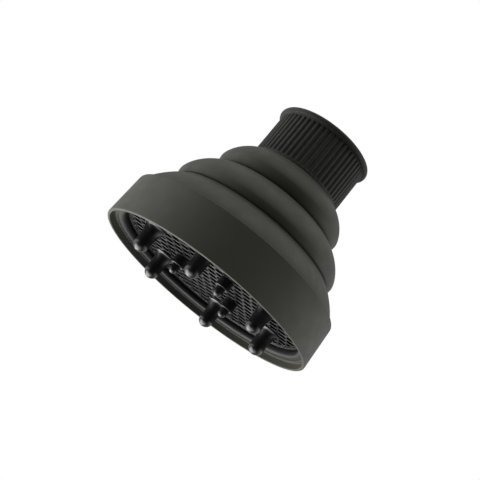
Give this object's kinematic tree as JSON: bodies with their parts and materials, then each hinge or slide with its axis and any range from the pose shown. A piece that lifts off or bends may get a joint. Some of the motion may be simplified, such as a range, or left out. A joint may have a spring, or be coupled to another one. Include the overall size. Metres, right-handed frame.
{
  "type": "collapsible hair dryer diffuser",
  "caption": "Collapsible bellows diffuser for a hair dryer: a ribbed sleeve grips the outlet, three folds collapse it, and a honeycomb grille carries massage fingers.",
  "frame": {"origin": "on the axis, in the plane that the tips of the long fingers stand on", "axes": "+Z along the axis from the mouth to the sleeve; the first long finger stands 15 degrees from +X towards +Y"},
  "size_m": [0.13, 0.13, 0.1146],
  "materials": {
    "silicone": "matte",
    "sleeve_silicone": "matte",
    "nylon": "satin",
    "gloss_nylon": "gloss"
  },
  "bodies": {
    "rim": {"rim_band": "silicone", "shoulder_web": "silicone", "grille_frame": "nylon", "honeycomb_plate": "nylon", "plate_snap_ring": "nylon", "long_finger_1": "gloss_nylon", "long_finger_2": "gloss_nylon", "long_finger_3": "gloss_nylon", "long_finger_4": "gloss_nylon", "long_finger_5": "gloss_nylon", "long_finger_6": "gloss_nylon", "short_finger_1": "gloss_nylon", "short_finger_2": "gloss_nylon", "short_finger_3": "gloss_nylon"},
    "lower_lobe": {"lower_lobe_ring": "silicone", "lower_lobe_web": "silicone"},
    "upper_lobe": {"upper_lobe_ring": "silicone", "upper_lobe_web": "silicone"},
    "sleeve": {"ribbed_sleeve": "sleeve_silicone"}
  },
  "joints": [
    {"name": "shoulder_fold", "type": "slide", "parent": "rim", "child": "lower_lobe", "axis": [0, 0, -1], "range_m": [0, 0.02], "deforming": ["shoulder_web"]},
    {"name": "lower_lobe_fold", "type": "slide", "parent": "lower_lobe", "child": "upper_lobe", "axis": [0, 0, -1], "range_m": [0, 0.02], "deforming": ["lower_lobe_web"]},
    {"name": "upper_lobe_fold", "type": "slide", "parent": "upper_lobe", "child": "sleeve", "axis": [0, 0, -1], "range_m": [0, 0.02], "deforming": ["upper_lobe_web"]}
  ]
}
